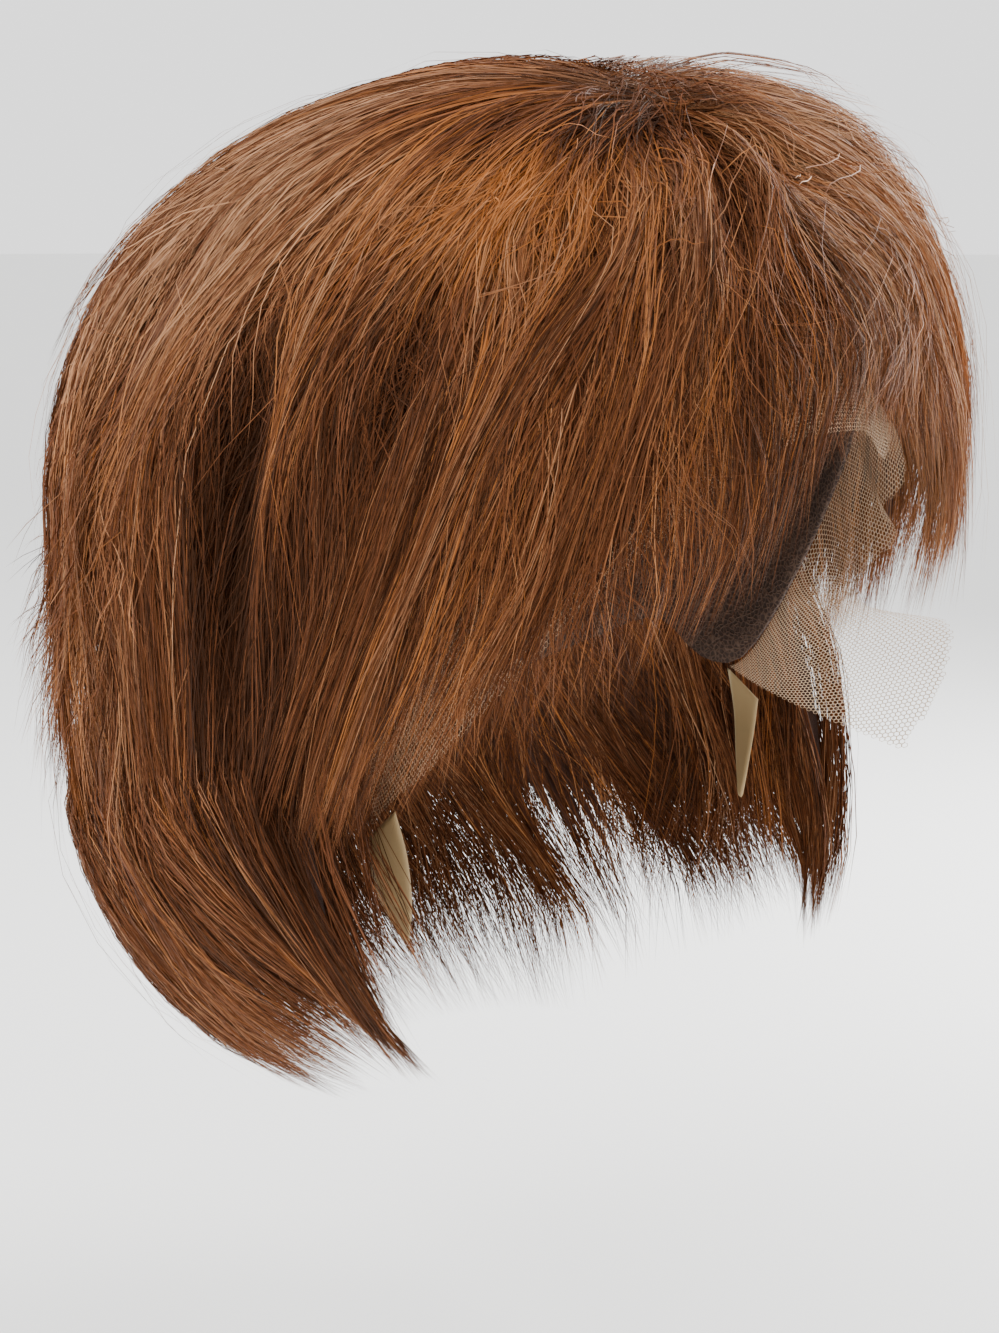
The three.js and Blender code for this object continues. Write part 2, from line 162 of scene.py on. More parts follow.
# Groups of strands, each in the piece of a section. Root and tip are shares of the run from whorl to hem,
# width is of a clump in degrees, deep is how far the roots lie under the outside and lie how far the
# clumps do, flick pushes the tips inward, inner is the share that lines the inside, uneven is how far
# strands fall short and taper how much thinner their ends are.
GROUPS = (
    {**CROWN, "flow": (-180, 180), "clumps": 170, "strands": 26,
     "root": (0.0, 0.24), "tip": (0.56, 0.86), "width": 5.0, "deep": 4, "lie": (0.0, 3.0), "flick": -0.5,
     "tone": 0.02, "uneven": 0.3},
    {**CROWN, "flow": (-180, 180), "clumps": 130, "strands": 23,
     "root": (0.02, 0.3), "tip": (0.4, 0.7), "width": 5.0, "deep": 5, "lie": (-0.8, 2.0), "flick": -0.6,
     "tone": 0.06, "uneven": 0.3},
    {**CROWN, "flow": (40, 320), "clumps": 80, "strands": 23,
     "root": (0.0, 0.12), "tip": (0.36, 0.62), "width": 8.0, "deep": 1.5, "lie": (-2.5, 1.5), "flick": 0.0,
     "tone": 0.06},
    {**CROWN, "flow": (-60, 70), "clumps": 40, "strands": 7,
     "root": (0.0, 0.1), "tip": (0.16, 0.4), "width": 9.0, "deep": 3, "lie": (-8.0, 0.0), "flick": 1.0,
     "tone": 0.1},
    {**CROWN, "flow": (-180, 180), "clumps": 130, "strands": 2,
     "root": (0.2, 0.55), "tip": (0.3, 0.75), "width": 9.0, "deep": 4, "lie": (-5.0, -0.5), "flick": -1.0,
     "tone": 0.1},
    {**SECTION, "piece": "hair_fringe", "flow": (-58, -3), "clumps": 180, "strands": 32,
     "root": (0.24, 0.6), "tip": (0.84, 1.06), "width": 4.0, "deep": 7, "lie": (0.0, 4.5), "flick": 0.6,
     "inner": 0.1, "tone": -0.12},
    {**SECTION, "piece": "hair_fringe", "flow": (-3, 28), "clumps": 90, "strands": 31,
     "root": (0.2, 0.56), "tip": (0.88, 1.04), "width": 3.6, "deep": 6, "lie": (0.0, 4.0), "flick": 1.0,
     "inner": 0.06, "tone": 0.04},
    {**SECTION, "piece": "hair_right", "flow": (-100, -59), "clumps": 140, "strands": 34,
     "root": (0.24, 0.6), "tip": (0.76, 1.12), "width": 4.0, "deep": 7, "lie": (0.0, 4.5), "flick": 0.2,
     "inner": 0.08, "tone": -0.26, "uneven": 0.22},
    {**SECTION, "piece": "hair_left", "flow": (29, 100), "clumps": 150, "strands": 32,
     "root": (0.24, 0.6), "tip": (0.84, 1.05), "width": 4.2, "deep": 7, "lie": (0.0, 4.5), "flick": 1.0,
     "inner": 0.1, "tone": 0.06},
    {**SECTION, "piece": "hair_back", "flow": (101, 259), "clumps": 230, "strands": 35,
     "root": (0.24, 0.64), "tip": (0.76, 1.12), "width": 4.2, "deep": 7, "lie": (-0.5, 4.5), "flick": -2.0,
     "inner": 0.05, "tone": -0.03, "uneven": 0.22},
    {**SECTION, "piece": "hair_back", "flow": (104, 256), "clumps": 70, "strands": 28,
     "root": (0.4, 0.7), "tip": (0.8, 1.12), "width": 2.6, "deep": 6, "lie": (-1.0, 1.5), "flick": -8.5,
     "tone": 0.0, "taper": 0.5},
    {**NAPE, "flow": (88, 272), "clumps": 240, "strands": 42, "tip": (0.97, 1.06)},
    {**NAPE_SIDE, "flow": (-112, -86)},
    {**NAPE_SIDE, "flow": (86, 112)},
    {**NAPE, "flow": (166, 194), "clumps": 48, "strands": 36, "tip": (0.96, 1.06)},
)

# Dense hair under the strands: skin is how deep it lies, hem where the gaps and the points of its wisps
# end. Most is the share of the hair's thickness that the skin may lie in, thin how far the wall closes
# at the hem and late how late it does so.
BACKINGS = (
    {"piece": "hair_under_top", "layer": OVER, "flow": (-180, 180), "top": 0.0, "hem": (0.77, 0.92),
     "skin": 7.5, "wisps": 160},
    {"piece": "hair_under_nape", "layer": UNDER, "flow": (92, 268), "top": 0.56, "hem": (0.87, 0.95),
     "skin": 8.0, "wisps": 130},
)
BACKING_WALL = {"rows": 10, "most": 0.55, "thin": 0.9, "late": 6}

# How strands scatter: turns in degrees, depths in millimetres, the rest shares. Clump values hold for a
# whole clump, bundle values for the few strands that lie together, the others for one strand.
SCATTER = {
    "bundle": 3, "golden": 0.618034, "clump_place": 0.45, "root": 0.02, "tip_ease": 0.7, "uneven": 0.14,
    "point_ease": 0.92, "across": 0.5, "stray": 0.05, "widest": 1.1, "pinch": (0.25, 0.85),
    "clump_width": (0.6, 1.6), "clump_lean": 3.6, "root_turn": 6, "clump_wave": (2.2, 5.0), "phase": 6.3,
    "fly_turn": 9, "fly_lift": (1, 7), "tip_fan": 2.4, "bundle_depth": (-0.4, 1.4), "depth": 0.4,
    "flick": (0.1, 1.5), "clump_tone": 0.18, "bundle_tone": 0.2, "tone": 0.08, "tip_tone": 0.06,
    "pale": 0.2, "thick": (0.7, 1.25), "fly_thick": 0.5, "taper": 0.7, "root_thick": 0.7,
    "roll": 1.1, "twist": 0.7,
}

# Strands that line the inside: how deep they go at most, and the share of the hair's thickness for both.
LINING = {"depth": 60, "most": 1.04, "outer_most": 0.8}

# Furrows that part the locks: how they fade in and out, push strands aside and darken them with painted
# shade, then for each one its flow angle, half width, run from, run to and depth.
FURROW = {"fade": 0.15, "push": 0.9, "shade": 0.16}
FURROWS = (
    (-87, 3.0, 0.5, 0.92, 6.0),
    (-112, 2.5, 0.35, 0.75, 3.5),
    (-134, 3.0, 0.45, 0.95, 4.0),
    (-64, 2.5, 0.4, 0.8, 3.0),
    (-40, 2.5, 0.3, 0.75, 3.0),
    (-15, 3.0, 0.2, 0.7, 5.0),
    (1, 4.0, 0.06, 0.6, 5.5),
    (34, 3.0, 0.35, 0.8, 3.0),
    (62, 3.0, 0.4, 0.9, 3.5),
    (96, 3.0, 0.4, 0.9, 4.0),
    (128, 3.0, 0.4, 0.95, 4.0),
    (158, 3.0, 0.4, 0.9, 3.5),
    (-162, 3.0, 0.35, 0.85, 3.5),
)

# Bends that neighbouring locks share: where on the run they come and go, then for each one its turns round
# the wig, pace along the run, start and swing in degrees.
BEND = {"start": 0.2, "rise": 0.3, "end": 1.15, "fall": 0.25}
BENDS = (
    (5, 9.0, 20, 1.7),
    (11, 15.0, 140, 1.1),
    (19, 11.0, 260, 0.8),
)

# Dark roots, then lights and darks of the hair: amber streaks and lowlights of the dye, painted sheen on
# the back of the crown and on the far side, and painted shade in the gap on the wearer's right. Flow angle
# and its spread, run and its spread, tone added, paleness added.
ROOT_SHADE = {"share": 0.7, "start": 0.01, "fade": 0.14}
DYE_AND_PAINTED_LIGHT = (
    (-60, 20, 0.4, 0.14, 0.5, -0.4),
    (-82, 5, 0.66, 0.14, 0.3, -0.2),
    (-15, 8, 0.45, 0.2, 0.06, 0.0),
    (-66, 16, 0.62, 0.12, -0.08, 0.0),
    (-82, 16, 0.88, 0.22, -0.18, 0.0),
    # Painted sheen: the far side made lighter and paler.
    (32, 28, 0.5, 0.4, 0.5, 0.8),
    # Painted sheen: the back of the crown made lighter and paler.
    (-120, 30, 0.38, 0.18, 0.36, 0.8),
    (-140, 40, 0.8, 0.3, 0.1, 0.2),
    # Painted shade in the gap along the furrow on the wearer's right.
    (-88, 5, 0.72, 0.2, -0.2, 0.0),
    (-30, 36, 0.16, 0.14, -0.36, -0.8),
    (-72, 30, 0.23, 0.08, -0.26, -0.6),
)


def smooth(x):
    """Eased step from 0 to 1."""
    x = np.clip(x, 0, 1)
    return x * x * (3 - 2 * x)


def mix(a, b, k):
    """Value between a and b."""
    return a + (b - a) * k


def turned(angle):
    """Angle brought between -180 and 180."""
    return (angle + 180) % 360 - 180


def unit(vectors):
    """Vectors of length 1 along the last axis."""
    return vectors / np.maximum(np.linalg.norm(vectors, axis=-1, keepdims=True), 1e-9)


def curve_through(table, key, places):
    """Every column of a table at places along its key, on a smooth curve through the rows."""
    x = np.asarray(table[key], float)
    after = np.clip(np.searchsorted(x, places, side="right"), 1, len(x) - 1)
    near = [np.clip(after + step, 0, len(x) - 1) for step in (-2, -1, 0, 1)]
    x0, x1, x2, x3 = (x[n] for n in near)
    span = x2 - x1
    k = (places - x1) / span
    found = {}
    for column, values in table.items():
        y0, y1, y2, y3 = (np.asarray(values, float)[n] for n in near)
        leave = (y2 - y0) / (x2 - x0) * span
        reach = (y3 - y1) / (x3 - x1) * span
        square = 3 * (y2 - y1) - 2 * leave - reach
        cube = 2 * (y1 - y2) + leave + reach
        found[column] = y1 + leave * k + square * k**2 + cube * k**3
    return found


def ringed(table):
    """Table that goes all round, with its end rows again past both ends."""
    made = {}
    for column, values in table.items():
        turn = 360 if column == "angle" else 0
        before = [v - turn for v in values[-2:]]
        made[column] = before + list(values) + [v + turn for v in values[:2]]
    return made


def mirrored(table):
    """Table for one side, made to go all round."""
    made = {}
    for column, values in table.items():
        sign = -1 if column == "angle" else 1
        made[column] = [sign * v for v in values[-2:0:-1]] + list(values)
    return made


CAP_RING = ringed(mirrored(CAP_EDGE))
HAIR_RING = ringed(HAIR_ROUND)


def polar(angle, radius, height):
    """Points at an angle round the upright axis."""
    a = np.radians(angle)
    return np.stack(np.broadcast_arrays(radius * np.sin(a), -radius * np.cos(a), height), axis=-1)


def hollow_point(angle, drop, out):
    """Points on the cap's hollow at a drop below its crown, standing out by a distance."""
    a = np.radians(angle)
    length = np.where(np.cos(a) > 0, HOLLOW["front"], HOLLOW["back"])
    reach = 1 / np.hypot(np.sin(a) / HOLLOW["half_width"], np.cos(a) / length)
    below = drop - HOLLOW["rise"]
    height = np.where(below < 0, -below / HOLLOW["rise"], -below / HOLLOW["fall"])
    radius = (reach + out) * np.sqrt(1 - height**2)
    level = np.where(below < 0, -HOLLOW["rise"] + (HOLLOW["rise"] + out) * height, -drop)
    return polar(angle, radius, level)


def cap_edge_drop(angle):
    """How far down the cap's edge lies."""
    return curve_through(CAP_RING, "angle", turned(angle))["drop"]


def cap_point(angle, share, out):
    """Points on the cap from its crown to its edge."""
    rise = HOLLOW["rise"]
    edge = cap_edge_drop(angle)
    upper = np.arccos(np.clip(1 - edge / rise, -1, 1))
    tilt = np.where(edge < rise, upper, math.pi / 2 + (edge - rise) / rise) * share
    up = np.minimum(tilt, math.pi / 2)
    drop = rise * (1 - np.cos(up)) + (tilt - up) * rise
    return hollow_point(angle, drop, out)


def hair_sides(layer, flow, run, drift=0.0):
    """Outside and inside of a layer of hair at a flow angle and a share of the run from whorl to tips."""
    swept = np.clip((run - layer["start"]) / (1 - layer["start"]), 0, None) ** HAIR["sweep_ease"]
    turn = curve_through(ringed(layer["sweep"]), "angle", turned(flow))["turn"] * swept
    way = np.radians(flow + turn)
    rise = HOLLOW["rise"] + HAIR["loft"]
    ends = curve_through(HAIR_RING, "angle", turned(flow + turn))
    below = -HOLLOW["rise"] - ends[layer["tips"]]
    above_tilt = np.arccos(np.clip(-below / rise, 0, 1) ** (ends["shoulder"] / 2))
    along = np.clip(run, 0, None) * np.where(below > 0, math.pi / 2 + below / HAIR["pace"], above_tilt)
    near = layer["whorl"] * np.maximum(0, 1 - run / WHORL["fade"]) ** 2
    from_top, parting = (np.radians(WHORL[name]) for name in ("angle", "parting"))
    aside = along * np.sin(way) + near * (WHORL["tilt"] * np.sin(from_top) + drift * np.sin(parting))
    ahead = along * np.cos(way) + near * (WHORL["tilt"] * np.cos(from_top) + drift * np.cos(parting))
    angle = np.degrees(np.arctan2(aside, ahead))
    tilt = np.hypot(aside, ahead)
    row = curve_through(HAIR_RING, "angle", turned(angle))
    tucked = layer["tucked"] * (1 - smooth((run - HAIR["tucked_to"]) / layer["emerge"]))
    reach = row["reach"] - layer["inset"] - tucked
    power = 2 / row["shoulder"]
    up = np.minimum(tilt, math.pi / 2)
    down = np.clip((tilt - up) * HAIR["pace"], 0, HAIR["fall"] * HAIR["lowest"])
    tuck = (1 - (down / HAIR["fall"]) ** HAIR["under"]) ** (1 / HAIR["under"])
    cosine = np.clip(np.cos(up), 0, 1)
    level = -HOLLOW["rise"] + rise * cosine**power - down
    outer = polar(angle, reach * tuck * np.sin(up) ** power, level)
    inner = hollow_point(angle, HOLLOW["rise"] * (1 - cosine) + down, WALL["cap"] + WALL["hair_gap"])
    taper = HAIR["hem_taper"] * smooth((run - HAIR["taper_from"]) / (1 - HAIR["taper_from"]))
    return outer, mix(inner, outer, (taper + 0 * angle)[..., None])


def hair_point(layer, flow, run, depth, most, drift=0.0):
    """Points in the hair, a depth under its outside, and the way out of it."""
    outer, inner = hair_sides(layer, flow, run, drift)
    through = inner - outer
    thick = np.linalg.norm(through, axis=-1)
    inward = unit(through)
    return outer + inward * np.minimum(depth, thick * most)[..., None], -inward


def lace_point(along, across):
    """Points on the lace strip from its right end to its left one, and from its seam to its free edge."""
    table = {"place": np.arange(len(LACE_FOLDS["seam_angle"])), **LACE_FOLDS}
    fold = curve_through(table, "place", along * (len(table["place"]) - 1))
    seam = cap_edge_drop(fold["seam_angle"]) + WALL["seam_gap"]
    middle = WALL["cap"] / 2
    return hollow_point(
        mix(fold["seam_angle"], fold["edge_angle"], across),
        mix(seam, fold["edge_drop"], across),
        middle + (fold["edge_out"] - middle) * across**LACE_LIFT,
    )


def tab_point(name, along, across):
    """Points on an ear tab from its top to its tip, and from its back edge to its front edge."""
    rows = len(TABS[name]["back_angle"])
    table = {"place": np.arange(rows), **TABS[name]}
    row = curve_through(table, "place", along * (rows - 1))
    return hollow_point(
        mix(row["back_angle"], row["front_angle"], across),
        mix(row["back_drop"], row["front_drop"], across),
        mix(row["back_out"], row["front_out"], across),
    )


def tab_face(name, side):
    """One face of an ear tab, thinner towards its rim."""
    step = 0.001

    def at(i, j):
        down = tab_point(name, np.minimum(j + step, 1), i) - tab_point(name, np.maximum(j - step, 0), i)
        wide = tab_point(name, j, np.minimum(i + step, 1)) - tab_point(name, j, np.maximum(i - step, 0))
        rim = np.minimum(np.minimum(i, 1 - i) * TAB_RIM["across"], np.minimum(j, 1 - j) * TAB_RIM["along"])
        full = np.sqrt(np.clip(rim / TAB_RIM["soft"], TAB_RIM["least"], 1))
        return tab_point(name, j, i) + unit(np.cross(down, wide)) * (side * WALL["tab"] / 2 * full)[:, None]

    return at


def new_object(name, points, corners, starts, uv=None, colours=None):
    """Mesh object from arrays: points in millimetres, face corners, where faces start, UVs and colours."""
    mesh = bpy.data.meshes.new(name)
    mesh.vertices.add(len(points))
    mesh.vertices.foreach_set("co", (np.asarray(points) * MM).astype(np.float32).ravel())
    mesh.loops.add(len(corners))
    mesh.loops.foreach_set("vertex_index", np.asarray(corners, np.int32))
    mesh.polygons.add(len(starts))
    mesh.polygons.foreach_set("loop_start", np.asarray(starts, np.int32))
    mesh.update(calc_edges=True)
    if uv is not None:
        mesh.uv_layers.new(name=UV_MAP).data.foreach_set("uv", np.asarray(uv, np.float32).ravel())
    if colours is not None:
        layer = mesh.color_attributes.new("dye", "FLOAT_COLOR", "POINT")
        full = np.concatenate([colours, np.ones((len(colours), 1))], axis=1)
        layer.data.foreach_set("color", full.astype(np.float32).ravel())
    mesh.shade_smooth()
    made = bpy.data.objects.new(name, mesh)
    bpy.context.scene.collection.objects.link(made)
    return made


def grid_faces(columns, rows, first=0, flip=False):
    """Quads of a grid with (columns + 1) by (rows + 1) points."""
    i, j = np.meshgrid(np.arange(columns), np.arange(rows))
    a = first + j * (columns + 1) + i
    quad = np.stack([a, a + columns + 1, a + columns + 2, a + 1], axis=-1).reshape(-1, 4)
    return quad[:, ::-1] if flip else quad


def quad_object(name, points, quads, uv=None):
    """Mesh object of quads, with a UV for each point."""
    corners = quads.ravel()
    shown = None if uv is None else uv[corners]
    return new_object(name, points, corners, np.arange(len(quads)) * 4, shown)


def wall_object(name, columns, rows, outside, inside, closed=False):
    """Closed cloth wall between two surfaces over a grid, with its two faces side by side in the UV map."""
    i, j = np.meshgrid(np.linspace(0, 1, columns + 1), np.linspace(0, 1, rows + 1))
    i, j = i.ravel(), j.ravel()
    points = np.concatenate([outside(i, j), inside(i, j)])
    count = len(i)
    uv = np.concatenate([np.stack([i * 0.49, j], axis=1), np.stack([0.51 + i * 0.49, j], axis=1)])
    quads = [grid_faces(columns, rows), grid_faces(columns, rows, count, flip=True)]
    top = np.arange(columns)
    base = rows * (columns + 1) + top
    quads.append(np.stack([top, top + 1, top + 1 + count, top + count], axis=1))
    quads.append(np.stack([base + 1, base, base + count, base + 1 + count], axis=1))
    if not closed:
        left = np.arange(rows) * (columns + 1)
        right = left + columns
        step = columns + 1
        quads.append(np.stack([left + step, left, left + count, left + step + count], axis=1))
        quads.append(np.stack([right, right + step, right + step + count, right + count], axis=1))
    return quad_object(name, points, np.concatenate(quads), uv)


def strand_object(name, centres, radii, outward, rolls, colours):
    """Many tapered hairs as one mesh of rolled ribbons, each with its own strip of the UV map."""
    count, steps, _ = centres.shape
    along = unit(np.gradient(centres, axis=1))
    up = unit(outward - (outward * along).sum(-1, keepdims=True) * along)
    side = np.cross(up, along)
    across = np.cos(rolls)[..., None] * side + np.sin(rolls)[..., None] * up
    edge = radii[..., None] * across
    pairs = np.stack([centres - edge, centres + edge], axis=2)[:, :-1]
    per = (steps - 1) * 2 + 1
    points = np.concatenate([pairs.reshape(count, -1, 3), centres[:, -1:]], axis=1)
    dyes = np.concatenate([np.repeat(colours[:, :-1], 2, axis=1), colours[:, -1:]], axis=1)
    corners, strip, sizes = [], [], []
    rows, side_gap, end_gap = 64, 0.06, 0.04
    level = np.linspace(end_gap, 1 - end_gap, steps)
    for j in range(steps - 2):
        corners += [2 * j, 2 * j + 1, 2 * j + 3, 2 * j + 2]
        strip += [(0, level[j]), (1, level[j]), (1, level[j + 1]), (0, level[j + 1])]
        sizes.append(4)
    corners += [per - 3, per - 2, per - 1]
    strip += [(0, level[-2]), (1, level[-2]), (0.5, level[-1])]
    sizes.append(3)
    columns = math.ceil(count / rows)
    number = np.arange(count)
    cell = np.stack([number % columns, number // columns], axis=1)
    strip = np.array([side_gap, 0]) + np.array(strip) * np.array([1 - 2 * side_gap, 1])
    uv = (cell[:, None] + strip) / np.array([columns, rows])
    starts = np.concatenate([[0], np.cumsum(sizes)[:-1]])
    all_corners = np.array(corners) + number[:, None] * per
    all_starts = starts + number[:, None] * len(corners)
    return new_object(
        name, points.reshape(-1, 3), all_corners.ravel(), all_starts.ravel(), uv.reshape(-1, 2),
        colours=dyes.reshape(-1, 3),
    )


class Wire:
    """A shader value that takes part in Python expressions."""

    def __init__(self, bench, socket):
        self.bench = bench
        self.socket = socket

    def __add__(self, other):
        return self.bench.maths("ADD", self, other)

    __radd__ = __add__

    def __sub__(self, other):
        return self.bench.maths("SUBTRACT", self, other)

    def __rsub__(self, other):
        return self.bench.maths("SUBTRACT", other, self)

    def __mul__(self, other):
        return self.bench.maths("MULTIPLY", self, other)

    __rmul__ = __mul__


class Bench:
    """One material and the nodes that make it."""

    def __init__(self, name):
        self.material = bpy.data.materials.new(name)
        self.material.use_nodes = True
        self.tree = self.material.node_tree
        self.shader = self.tree.nodes["Principled BSDF"]

    def add(self, kind, settings=None, sockets=None, output=0):
        """Adds a node, sets it up, then fills its sockets with values or links."""
        node = self.tree.nodes.new(kind)
        for name, value in (settings or {}).items():
            setattr(node, name, value)
        for name, value in (sockets or {}).items():
            self.feed(node.inputs[name], value)
        return Wire(self, node.outputs[output])

    def feed(self, socket, value):
        """Links or sets one socket."""
        if isinstance(value, Wire):
            self.tree.links.new(value.socket, socket)
        else:
            socket.default_value = value

    def maths(self, operation, left, right):
        """One step of a sum."""
        return self.add("ShaderNodeMath", {"operation": operation}, {0: left, 1: right})

    def blend(self, factor, first, second):
        """Colour between two colours."""
        return self.add("ShaderNodeMix", {"data_type": "RGBA"}, {0: factor, 6: first, 7: second}, output=2)

    def stretched(self, coordinates, scale):
        """Coordinates times a scale in each direction."""
        return self.add("ShaderNodeVectorMath", {"operation": "MULTIPLY"}, {0: coordinates, 1: scale})

    def noise(self, coordinates, scale, detail=2.0, rough=0.5):
        """Soft noise from 0 to 1."""
        sockets = {"Vector": coordinates, "Scale": scale, "Detail": detail, "Roughness": rough}
        return self.add("ShaderNodeTexNoise", None, sockets)

    def bump(self, height, strength, distance):
        """Surface relief from a height."""
        sockets = {"Strength": strength, "Distance": distance, "Height": height}
        return self.add("ShaderNodeBump", None, sockets)

    def finish(self, **sockets):
        """Fills the shader's sockets and returns the material."""
        for name, value in sockets.items():
            self.feed(self.shader.inputs[name.replace("_", " ")], value)
        return self.material


def rgba(colour):
    """Colour with full alpha."""
    return (*colour, 1.0)


def strand_finish(look):
    """Fine glossy hair: the dye of each strand, broken up along its length."""
    bench = Bench("hair_strands")
    dye = bench.add("ShaderNodeAttribute", {"attribute_name": "dye"})
    place = bench.add("ShaderNodeTexCoord", output=3)
    grain = bench.noise(place, 420.0, 0.0)
    sockets = {0: dye, "Scale": 0.86 + grain * 0.28}
    shade = bench.add("ShaderNodeVectorMath", {"operation": "SCALE"}, sockets)
    return bench.finish(
        Base_Color=shade, Roughness=look.roughness - 0.1 + grain * 0.2, Specular_IOR_Level=look.gloss,
        Specular_Tint=rgba(look.shine_colour),
    )


def backing_finish(look):
    """Dense dark under hair: streaks along the flow, with relief."""
    bench = Bench("hair_under")
    flow = bench.add("ShaderNodeUVMap", {"uv_map": UV_MAP})
    streaks = bench.noise(bench.stretched(flow, (900.0, 4.0, 1.0)), 1.0, 1.0, 0.6)
    wisps = bench.noise(bench.stretched(flow, (130.0, 3.0, 1.0)), 1.0, 0.0)
    colour = bench.blend(streaks * 0.7 + wisps * 0.3, rgba(look.root_colour), rgba(look.body_colour))
    height = streaks + wisps * 0.6
    return bench.finish(
        Base_Color=colour, Roughness=0.55 + streaks * 0.2, Specular_IOR_Level=0.35,
        Normal=bench.bump(height, 0.9, 0.0012),
    )


def lace_finish(look):
    """Fine beige net thread."""
    bench = Bench("lace_thread")
    place = bench.add("ShaderNodeTexCoord", output=3)
    soft = bench.noise(place, 60.0)
    fine = bench.noise(place, 1800.0)
    colour = bench.blend(soft * 0.6 + fine * 0.4, rgba(look.thread_shade), rgba(look.thread_colour))
    return bench.finish(
        Base_Color=colour, Roughness=0.6 + fine * 0.25, Specular_IOR_Level=0.3,
        Normal=bench.bump(fine, 0.4, 0.0002),
    )


def cap_finish(look):
    """Dark stretch net: diagonal threads with small openings, painted near black as shade."""
    bench = Bench("cap_net_cloth")
    place = bench.add("ShaderNodeTexCoord", output=3)
    soft = bench.noise(place, 45.0)
    sockets = {"Vector": place, "Scale": 700.0}
    split = bench.add("ShaderNodeTexVoronoi", {"feature": "DISTANCE_TO_EDGE"}, sockets)
    thread = 1 - bench.maths("MINIMUM", split * 5.0, 1.0)
    # The openings between the threads take the painted shade colour.
    colour = bench.blend(thread * 0.8 + soft * 0.2, rgba(look.hole_shade_colour), rgba(look.net_colour))
    return bench.finish(
        Base_Color=colour, Roughness=0.9 - thread * 0.25, Specular_IOR_Level=0.25,
        Normal=bench.bump(thread, 0.7, 0.0004),
    )


def tab_finish(look):
    """Smooth beige cloth with a fine knit and a paler folded rim."""
    bench = Bench("ear_tab_cloth")
    flow = bench.add("ShaderNodeUVMap", {"uv_map": UV_MAP})
    knit = bench.noise(bench.stretched(flow, (60.0, 160.0, 1.0)), 1.0)
    place = bench.add("ShaderNodeTexCoord", output=3)
    soft = bench.noise(place, 70.0)
    rim = bench.add("ShaderNodeAttribute", {"attribute_name": "rim"}, output=2)
    body = bench.blend(soft * 0.6 + knit * 0.4, rgba(look.tab_shade), rgba(look.tab_colour))
    colour = bench.blend(rim * 0.8, body, rgba(look.tab_rim))
    return bench.finish(
        Base_Color=colour, Roughness=0.55 + knit * 0.2, Specular_IOR_Level=0.35,
        Normal=bench.bump(knit, 0.35, 0.0003),
    )


def floor_finish(look):
    """Plain pale floor."""
    bench = Bench("pale_floor")
    place = bench.add("ShaderNodeTexCoord", output=3)
    soft = bench.noise(place, 3.0)
    colour = bench.blend(soft, rgba(look.floor_colour), rgba([0.98 * c for c in look.floor_colour]))
    return bench.finish(Base_Color=colour, Roughness=0.8, Specular_IOR_Level=0.2)


def strand_dye(look, tone, paleness_and_sheen, run):
    """Colour along each strand: dark roots, brown body, then amber or pale where the tone is light; tone
    and paleness carry the dye and also painted sheen and painted shade.
    """
    root, body, amber, pale = (
        np.array(c) for c in (look.root_colour, look.body_colour, look.amber_colour, look.pale_and_sheen_colour)
    )
    light = mix(amber, pale, paleness_and_sheen[..., None])
    dark_half = mix(root, body, np.clip(tone[..., None] * 2, 0, 1))
    light_half = mix(body, light, np.clip(tone[..., None] * 2 - 1, 0, 1))
    colour = np.where(tone[..., None] < 0.5, dark_half, light_half)
    shade = ROOT_SHADE["share"] * (1 - smooth((run - ROOT_SHADE["start"]) / ROOT_SHADE["fade"]))
    return mix(colour, root, shade[..., None])


def locks_bend(flow, run):
    """Sideways bend that neighbouring locks share, in degrees of flow."""
    bend = 0
    for turns, pace, start, swing in BENDS:
        bend = bend + swing * np.sin(np.radians(turns * flow + start) + pace * run)
    rise = smooth((run - BEND["start"]) / BEND["rise"])
    fall = smooth((BEND["end"] - run) / BEND["fall"])
    return bend * rise * fall


